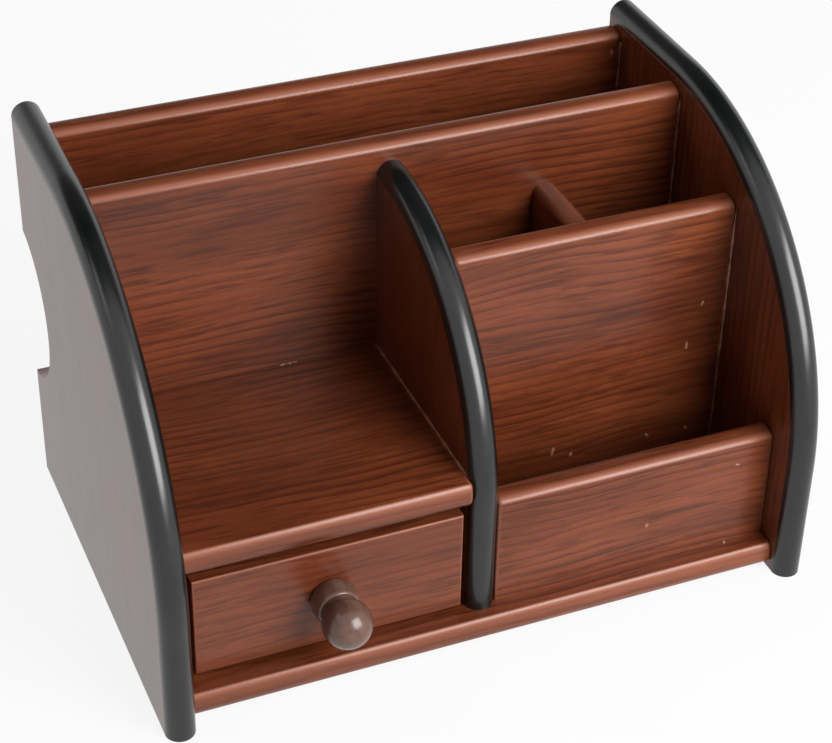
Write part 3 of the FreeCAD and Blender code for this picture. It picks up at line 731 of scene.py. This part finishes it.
# %% Plated steel
def plated_steel():
    """Zinc-plated steel, brightly turned."""
    n = Nodes("screw_steel_plated")
    place = n.place()
    turning = n.noise(n.stretched(place, grain_scale("Y", 2600, 260)), detail=2.0)["Fac"]
    cloud = n.noise(place, scale=260.0, detail=3.0)["Fac"]
    colour = n.ramp(cloud, (0.3, srgb(190, 192, 194)), (0.7, srgb(160, 162, 168)))
    rough = n.ramp(turning, (0.3, grey(0.24)), (0.7, grey(0.38)))
    n.set(n.shader, Base_Color=colour, Metallic=1.0, Roughness=rough)
    n.bump(turning, distance=0.01 * MM, strength=0.4)
    return n.material


steel = plated_steel()
print("screw material:", steel.name)

# %% Beech for the dowels
def beech():
    """Pale beech with short dark flecks."""
    n = Nodes("dowel_beech")
    place = n.place()
    grain = n.noise(place, scale=240.0, detail=3.0)["Fac"]
    fleck = n.noise(n.stretched(place, (900, 900, 320)), detail=2.0)["Fac"]
    colour = n.ramp(grain, (0.3, srgb(214, 182, 140)), (0.7, srgb(192, 156, 112)))
    colour = n.mix(n.ramp(fleck, (0.55, grey(0)), (0.7, grey(0.6))), colour, srgb(140, 100, 66))
    n.set(n.shader, Base_Color=colour, Roughness=n.ramp(grain, (0.3, grey(0.5)), (0.7, grey(0.62))))
    n.bump(fleck, distance=0.03 * MM, strength=0.4)
    return n.material


dowels = frame["nodes"]["dowels"].data
dowels.materials.clear()
dowels.materials.append(beech())
print("dowel material:", dowels.materials[0].name)

# %% The knob's profile carried round an axis that runs forwards
KNOB_BALL = 8.65 * MM
KNOB_NECK = 6.8 * MM
KNOB_COLLAR = 8.1 * MM
COLLAR_HALF = 4.2 * MM
PILOT_RADIUS = 1.95 * MM
ROUND = 72
COLLAR_STEPS = 18
BALL_STEPS = 36
POLE = 2


def turned_mesh(name, profile, middle, start):
    """Ring k = profile point (out, radius) turned round (x, z), with out measured forwards from start."""
    a = np.linspace(0, 2 * math.pi, ROUND, endpoint=False)
    out, radius = profile[:, 0, None], profile[:, 1, None]
    x = middle[0] + radius * np.cos(a)
    y = np.broadcast_to(start - out, x.shape)
    z = middle[1] + radius * np.sin(a)
    return mesh_from_rings(name, np.stack([x, y, z], -1))


def knob_profile(length):
    """(out, radius) points: flat foot, half an ellipse for the collar, and the ball from the neck on.

    The ball ends a few degrees before its pole, where one small flat face closes it.
    """
    half_turn = arc((0, 0), 1, 180, 0, COLLAR_STEPS)
    collar = half_turn * (COLLAR_HALF, KNOB_COLLAR - KNOB_NECK) + (COLLAR_HALF, KNOB_NECK)
    start = 180 - math.degrees(math.asin(KNOB_NECK / KNOB_BALL))
    ball = arc((length - KNOB_BALL, 0), KNOB_BALL, start, POLE, BALL_STEPS)
    return np.concatenate([[[0, PILOT_RADIUS]], collar, ball])


low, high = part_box("drawer_knob")
KNOB_MIDDLE = ((low.x + high.x) / 2, (low.z + high.z) / 2)
mesh = turned_mesh("drawer_knob", knob_profile(high.y - low.y), KNOB_MIDDLE, high.y)
stands_for(piece_from_mesh("drawer_knob_turned", mesh, lacquer), "drawer_knob")

# %% The screw with its cross recess
SHANK_RADIUS = 1.9 * MM
TIP_RADIUS = 0.3 * MM
TIP_LENGTH = 1.2 * MM
HEAD_RADIUS = 3.8 * MM
HEAD_HEIGHT = 2.4 * MM
HEAD_RINGS = 22
FIRST_RING = 0.05
RECESS_REACH = 2.0 * MM
RECESS_HALF = 0.45 * MM
RECESS_DEPTH = 1.3 * MM
RECESS_WALL = 0.15 * MM
RECESS_END = 0.3 * MM


def screw_mesh(low, high):
    """Rings from the head's middle outwards, then along the shank to the tip.

    With s the share of the head's radius, the head's height is half + half x sqrt(1 - s^2).
    It is lowered where both the distance to an arm of the cross and the distance to the
    middle are small, over a narrow wall.
    """
    a = np.linspace(0, 2 * math.pi, ROUND, endpoint=False)
    shank = high.y - low.y - HEAD_HEIGHT
    share = np.linspace(FIRST_RING, 1.0, HEAD_RINGS)
    dome = HEAD_HEIGHT * (0.5 + 0.5 * np.sqrt(np.clip(1 - share ** 2, 0, 1)))
    shank_radii = [HEAD_RADIUS, SHANK_RADIUS, SHANK_RADIUS, TIP_RADIUS]
    radius = np.concatenate([share * HEAD_RADIUS, shank_radii])
    behind = np.concatenate([dome, [0.0, 0.0, TIP_LENGTH - shank, -shank]])
    u, v = radius[:, None] * np.cos(a), radius[:, None] * np.sin(a)
    arm = np.minimum(np.abs(u), np.abs(v))
    wall = np.clip((RECESS_HALF - arm) / RECESS_WALL, 0, 1)
    reach = np.clip((RECESS_REACH - np.hypot(u, v)) / RECESS_END, 0, 1)
    head = (np.arange(len(radius)) < HEAD_RINGS)[:, None]
    y = high.y - HEAD_HEIGHT + behind[:, None] - RECESS_DEPTH * wall * reach * head
    x, z = KNOB_MIDDLE[0] + u, KNOB_MIDDLE[1] + v
    return mesh_from_rings("knob_screw", np.stack([x, y, z], -1))


mesh = screw_mesh(*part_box("knob_screw"))
stands_for(piece_from_mesh("knob_screw_cross_head", mesh, steel), "knob_screw")

# %% [markdown]
# ## Glue in the corners
#
# A little hot glue was squeezed out where the boards meet the sides.  It stands in the
# corners as pale uneven threads, with a few stray drops on the boards.  It could be
# sculpted by hand, but a formula is quick and stays thin.  A thread is a circle carried
# along a straight corner, its radius rising and falling as a sum of sines.  A drop is a
# flattened ball.

# %% Pale glue
def glue():
    """Clouded pale glue, half matt."""
    n = Nodes("corner_glue")
    place = n.place()
    cloud = n.noise(place, scale=500.0, detail=3.0)["Fac"]
    colour = n.ramp(cloud, (0.3, srgb(176, 128, 100)), (0.7, srgb(140, 88, 62)))
    n.set(n.shader, Base_Color=colour, Roughness=n.ramp(cloud, (0.3, grey(0.3)), (0.7, grey(0.45))))
    n.bump(cloud, distance=0.05 * MM, strength=0.5)
    return n.material


hot_glue = glue()
print("glue material:", hot_glue.name)

# %% A thread of glue
THREAD = 0.45 * MM
THREAD_RINGS = 24
THREAD_ROUND = 10
RING_GAP = 1.0 * MM
TAPER = 12
THIN_END = 0.04

# each swell of the thread: millimetres per radian, height, share of the phase
SWELLS = ((2.3, 0.35, 1), (0.9, 0.25, 2))


def thread_mesh(name, start, stop, phase):
    """Ring t = circle round start + t (stop - start), its radius swelled by two sines, thin at its ends."""
    start, stop = np.array(start), np.array(stop)
    length = np.linalg.norm(stop - start)
    t = np.linspace(0, 1, max(THREAD_RINGS, int(length / RING_GAP)))
    ahead = (stop - start) / length
    side = np.cross(ahead, [1.0, 0.0, 0.0])
    side /= np.linalg.norm(side)
    other = np.cross(ahead, side)
    a = np.linspace(0, 2 * math.pi, THREAD_ROUND, endpoint=False)
    path = t * length / MM
    swell = 1 + sum(height * np.sin(path / wave + turn * phase) for wave, height, turn in SWELLS)
    swell *= np.sqrt(np.clip(np.minimum(t, 1 - t) * TAPER, THIN_END, 1))
    circle = np.cos(a)[None, :, None] * side + np.sin(a)[None, :, None] * other
    centre = start + t[:, None] * (stop - start)
    return mesh_from_rings(name, centre[:, None, :] + THREAD * swell[:, None, None] * circle)


def glued(name, mesh):
    """A piece of glue, fixed to the frame."""
    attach(piece_from_mesh(name, mesh, hot_glue), "frame")


print("a thread of glue is about", round(2 * THREAD / MM, 1), "mm thick")

# %% Threads in their corners
GLUE_END = 4.0 * MM
THREAD_PHASE = 1.7
INNER_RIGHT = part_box("side_right")[0].x
DIVIDER_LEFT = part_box("divider")[0].x
SHELF_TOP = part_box("shelf")[1].z
BASE_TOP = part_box("base_board")[1].z
back_face, middle_face, pen_face, front_face = (
    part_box(node)[0].y for node in ("back_panel", "middle_panel", "pen_panel", "front_panel")
)


def upright_corner(node, foot):
    """From a height up to just under the panel's top, where its front meets the right side."""
    low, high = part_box(node)
    return (INNER_RIGHT, low.y, foot), (INNER_RIGHT, low.y, high.z - GLUE_END)


shelf_start = (DIVIDER_LEFT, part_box("shelf")[0].y + GLUE_END, SHELF_TOP)
shelf_stop = (DIVIDER_LEFT, middle_face - 1.0 * MM, SHELF_TOP)
threads = {
    "glue_back": upright_corner("back_panel", 125 * MM),
    "glue_middle": upright_corner("middle_panel", 70 * MM),
    "glue_pens": upright_corner("pen_panel", 14 * MM),
    "glue_shelf": (shelf_start, shelf_stop),
}
for number, (name, (start, stop)) in enumerate(threads.items()):
    glued(name, thread_mesh(name, start, stop, THREAD_PHASE * number))
print("glue threads:", ", ".join(threads))

# %% A drop of glue
DROP_RINGS = 9
DROP_ROUND = 14
DROP_POLE = 0.15
DROP_FLAT = 0.3
DROP_UNEVEN = 0.25


def drop_mesh(name, centre, flat_axis, wide, tall, slant):
    """Rings of radius r sin v at height r cos v, a ball, pressed flat along one axis and uneven round it."""
    v = np.linspace(DROP_POLE, math.pi - DROP_POLE, DROP_RINGS)
    a = np.linspace(0, 2 * math.pi, DROP_ROUND, endpoint=False)
    out = np.sin(v)[:, None] * (1 + DROP_UNEVEN * np.sin(2 * a + slant))
    parts = [wide * out * np.cos(a), tall * out * np.sin(a)]
    parts.insert(AXES[flat_axis], np.broadcast_to(DROP_FLAT * wide * np.cos(v)[:, None], out.shape))
    rings = np.stack(parts, -1) + np.array(centre)
    return mesh_from_rings(name, rings if flat_axis == "Y" else rings[::-1])


print("a drop has", DROP_RINGS * DROP_ROUND, "points")

# %% Stray drops
SLANT = 1.3
shelf_corner = middle_face - 0.8 * MM

# each drop: the axis it is flat along, its centre, half its width and half its height in millimetres
drops = (
    ("Y", (0.0438, pen_face, 0.0359), 0.7, 1.7),
    ("Y", (0.0513, pen_face, 0.0325), 0.6, 1.0),
    ("Y", (0.0824, pen_face, 0.0328), 0.7, 1.1),
    ("Y", (0.0987, pen_face, 0.0321), 0.8, 0.7),
    ("Y", (0.0953, pen_face, 0.0700), 0.7, 1.3),
    ("Y", (0.1000, pen_face, 0.0872), 0.6, 1.0),
    ("Y", (0.0612, front_face, 0.0283), 0.6, 1.1),
    ("Y", (0.0957, front_face, 0.0459), 0.8, 0.5),
    ("Y", (0.1060, back_face, 0.1413), 0.6, 0.9),
    ("Z", (0.0936, front_face - 0.6 * MM, BASE_TOP), 0.8, 0.7),
    ("Z", (-0.0434, shelf_corner, SHELF_TOP), 1.1, 0.6),
    ("Z", (-0.0410, shelf_corner, SHELF_TOP), 0.8, 0.9),
    ("Z", (-0.0389, shelf_corner, SHELF_TOP), 1.0, 0.5),
)
for number, (flat_axis, centre, wide, tall) in enumerate(drops):
    name = f"glue_drop_{number}"
    glued(name, drop_mesh(name, centre, flat_axis, wide * MM, tall * MM, SLANT * number))
print("glue drops:", len(drops))

# %% [markdown]
# ## Floor, ceiling and surround
#
# A product is shown on white.  Very bright lamps would make a floor white, but they
# would bleach the stand as well.  So the floor and the surround tell rays apart: to
# the eye and in reflections they are plain white, and as a light they are weak, so
# that corners and undersides keep their depth.  A small share of the floor stays an
# ordinary matt surface, and that share keeps the shadow.  Glossy black needs something
# dark to mirror, or it turns grey, so a dark ceiling hangs over the back half and is
# seen by reflections only.

# %% White where it is seen, weaker where it lights
def seen_share(tree):
    """1 for a ray from the camera, a mirror-like surface or glass, 0 for a diffuse one."""
    path = tree.nodes.new("ShaderNodeLightPath")
    share = path.outputs["Is Camera Ray"]
    for kind in ("Is Glossy Ray", "Is Transmission Ray"):
        larger = tree.nodes.new("ShaderNodeMath")
        larger.operation = "MAXIMUM"
        tree.links.new(share, larger.inputs[0])
        tree.links.new(path.outputs[kind], larger.inputs[1])
        share = larger.outputs[0]
    return share


print("rays told apart: camera, glossy and transmission against diffuse")

# %% Floor
FLOOR_WHITE = 0.88
HALF_FLOOR = 6.0


def floor_material():
    """Matt white; where it is seen, most of it is plain white and the rest keeps the shadow."""
    n = Nodes("floor_white")
    n.set(n.shader, Base_Color=grey(0.85), Roughness=0.9)
    glow = n.add("ShaderNodeEmission")
    both = n.add("ShaderNodeMixShader")
    n.feed(both.inputs[0], n.math("MULTIPLY", seen_share(n.tree), FLOOR_WHITE))
    n.feed(both.inputs[1], n.shader.outputs[0])
    n.feed(both.inputs[2], glow.outputs[0])
    n.feed(n.tree.nodes["Material Output"].inputs["Surface"], both.outputs[0])
    return n.material


def level_sheet(name, left, right, front, back, height, material):
    """One flat rectangle at a height, put on the stage instead of on the part."""
    corners = [(x, y, height) for x, y in ((left, front), (right, front), (right, back), (left, back))]
    mesh = bpy.data.meshes.new(name)
    mesh.from_pydata(corners, [], [(0, 1, 2, 3)])
    mesh.materials.append(material)
    sheet = bpy.data.objects.new(name, mesh)
    bpy.context.scene.collection.objects.link(sheet)
    return sheet


level_sheet("floor", -HALF_FLOOR, HALF_FLOOR, -HALF_FLOOR, HALF_FLOOR, 0, floor_material())
print("floor:", 2 * HALF_FLOOR, "m wide")

# %% Dark ceiling, only for reflections
CEILING_HALF = 3.0
CEILING_FRONT = -0.1
CEILING_BACK = 3.5
CEILING_HEIGHT = 2.0

n = Nodes("dark_ceiling")
n.set(n.shader, Base_Color=grey(0.03), Roughness=0.9)
ceiling = level_sheet(
    "dark_ceiling", -CEILING_HALF, CEILING_HALF, CEILING_FRONT, CEILING_BACK, CEILING_HEIGHT, n.material
)
ceiling.visible_camera = False
ceiling.visible_diffuse = False
ceiling.visible_shadow = False
print("ceiling:", CEILING_HEIGHT, "m high")

# %% World
WORLD_LIGHT = 0.07

world = bpy.data.worlds.new("surround")
bpy.context.scene.world = world
world.use_nodes = True
tree = world.node_tree
strength = tree.nodes.new("ShaderNodeMapRange")
strength.inputs["To Min"].default_value = WORLD_LIGHT
strength.inputs["To Max"].default_value = 1.0
tree.links.new(seen_share(tree), strength.inputs["Value"])
background = tree.nodes["Background"]
background.inputs["Color"].default_value = (1, 1, 1, 1)
tree.links.new(strength.outputs[0], background.inputs["Strength"])
print("the surround lights with strength", WORLD_LIGHT, "and shows with strength 1")

# %% [markdown]
# ## Lamps
#
# One large soft lamp stands high in front on the right, and three weak ones beside the
# stand on the right, on the left and behind.  Large area lamps give soft shadows and
# the wide highlights of semi-gloss film.  A lamp may be kept out of reflections, where
# it would put a second bright spot on the knob and the edging.

# %% Lamps
def soft_lamp(name, place, target, width, height, power, mirrored=True):
    """A rectangular area lamp at place, turned towards target; it may stay out of reflections."""
    light = bpy.data.lights.new(name, "AREA")
    light.shape = "RECTANGLE"
    light.size = width
    light.size_y = height
    light.energy = power
    lamp = bpy.data.objects.new(name, light)
    lamp.location = place
    lamp.rotation_euler = (Vector(target) - Vector(place)).to_track_quat("-Z", "Y").to_euler()
    lamp.visible_glossy = mirrored
    bpy.context.scene.collection.objects.link(lamp)
    print(name, "lamp:", power, "W")


MIDDLE = (0, 0, 60 * MM)
LOW_MIDDLE = (0, 0, 30 * MM)
soft_lamp("key", (0.5, -0.97, 0.67), MIDDLE, width=0.8, height=0.85, power=21.5)
soft_lamp("side", (1.02, -0.22, 0.66), MIDDLE, width=0.5, height=0.5, power=3, mirrored=False)
soft_lamp("fill", (-0.86, 0.11, 0.93), LOW_MIDDLE, width=0.35, height=0.35, power=0.8)
soft_lamp("back", (-0.2, 0.9, 1.1), MIDDLE, width=0.6, height=0.6, power=5, mirrored=False)

# %% [markdown]
# ## Camera
#
# The camera stands in front on the left and looks down into the bays, so that all of
# them, the drawer and both sides show.  Its turn, its drop below the level and its roll
# are three separate angles: turned about Z, tilted about the camera's own X, and rolled
# about its line of sight.

# %% Camera
CAMERA_PLACE = Vector((-247.4, -575.74, 514.6)) * MM
CAMERA_TURN = math.radians(-23.02)
CAMERA_DROP = math.radians(35.34)
CAMERA_ROLL = math.radians(1.22)
CAMERA_LENS = 93.98
SENSOR_WIDTH = 36.0

camera_data = bpy.data.cameras.new("camera")
camera_data.lens = CAMERA_LENS
camera_data.sensor_width = SENSOR_WIDTH
camera = bpy.data.objects.new("camera", camera_data)
turn = Matrix.Rotation(CAMERA_TURN, 4, "Z") @ Matrix.Rotation(math.pi / 2 - CAMERA_DROP, 4, "X")
camera.matrix_world = Matrix.Translation(CAMERA_PLACE) @ turn @ Matrix.Rotation(CAMERA_ROLL, 4, "Z")
bpy.context.scene.collection.objects.link(camera)
bpy.context.scene.camera = camera
bpy.context.scene.view_settings.view_transform = "Standard"
print("camera:", CAMERA_LENS, "mm lens,", round(CAMERA_PLACE.length, 2), "m from the origin")

# %% [markdown]
